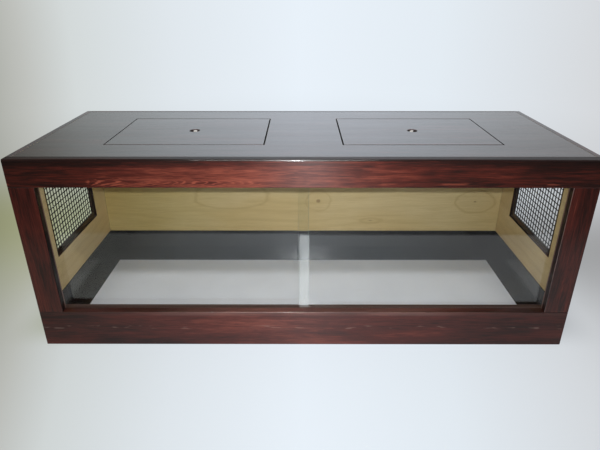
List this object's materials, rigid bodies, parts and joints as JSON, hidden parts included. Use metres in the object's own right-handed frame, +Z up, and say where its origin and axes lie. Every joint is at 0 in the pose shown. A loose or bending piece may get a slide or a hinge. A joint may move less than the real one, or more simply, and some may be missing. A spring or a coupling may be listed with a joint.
{
  "type": "terrarium cabinet",
  "caption": "Long stained wooden terrarium cabinet with sliding glass front panes, lift-out top hatches with finger holes, mesh end windows and a dark waterproof lining round the floor.",
  "frame": {"origin": "middle of the underside of the cabinet", "axes": "+X to the right seen from the front, +Y from the glass front towards the back board, +Z up"},
  "size_m": [1.2, 0.45, 0.45],
  "materials": {
    "stained_wood": "dark mahogany stain under gloss varnish, grain showing",
    "birch_ply": "pale birch plywood, clear satin varnish",
    "white_faced_board": "board with a smooth white satin face",
    "black_lining": "glossy black waterproof sheet",
    "track_plastic": "brown extruded glass track, satin",
    "glass": "clear float glass with ground edges",
    "mesh_wire": "dark coated welded mesh",
    "screw_steel": "zinc and yellow passivated steel"
  },
  "bodies": {
    "carcase": {"bottom_board": "white_faced_board", "left_side_board": "stained_wood", "right_side_board": "stained_wood", "back_board": "birch_ply", "top_board": "stained_wood", "front_top_rail": "stained_wood", "front_bottom_rail": "stained_wood", "front_left_stile": "stained_wood", "front_right_stile": "stained_wood", "sill_board": "stained_wood", "header_board": "stained_wood", "left_jamb": "stained_wood", "right_jamb": "stained_wood", "lower_glass_track": "track_plastic", "upper_glass_track": "track_plastic", "left_hatch_ledge": "birch_ply", "right_hatch_ledge": "birch_ply", "left_vent_bead": "stained_wood", "right_vent_bead": "stained_wood", "left_vent_mesh": "mesh_wire", "right_vent_mesh": "mesh_wire", "left_lining": "black_lining", "right_lining": "black_lining", "back_lining": "black_lining", "front_lining": "black_lining", "ledge_screws": "screw_steel", "base_screws": "screw_steel"},
    "left_glass": {"left_glass": "glass"},
    "right_glass": {"right_glass": "glass"},
    "left_hatch": {"left_hatch": "stained_wood"},
    "right_hatch": {"right_hatch": "stained_wood"}
  },
  "joints": [
    {"name": "left_glass_slide", "type": "slide", "parent": "carcase", "child": "left_glass", "axis": [1, 0, 0], "range_m": [0, 0.5505]},
    {"name": "right_glass_slide", "type": "slide", "parent": "carcase", "child": "right_glass", "axis": [-1, 0, 0], "range_m": [0, 0.5505]},
    {"name": "left_hatch_lift", "type": "slide", "parent": "carcase", "child": "left_hatch", "axis": [0, 0, 1], "range_m": [0, 0.15]},
    {"name": "right_hatch_lift", "type": "slide", "parent": "carcase", "child": "right_hatch", "axis": [0, 0, 1], "range_m": [0, 0.15]}
  ]
}
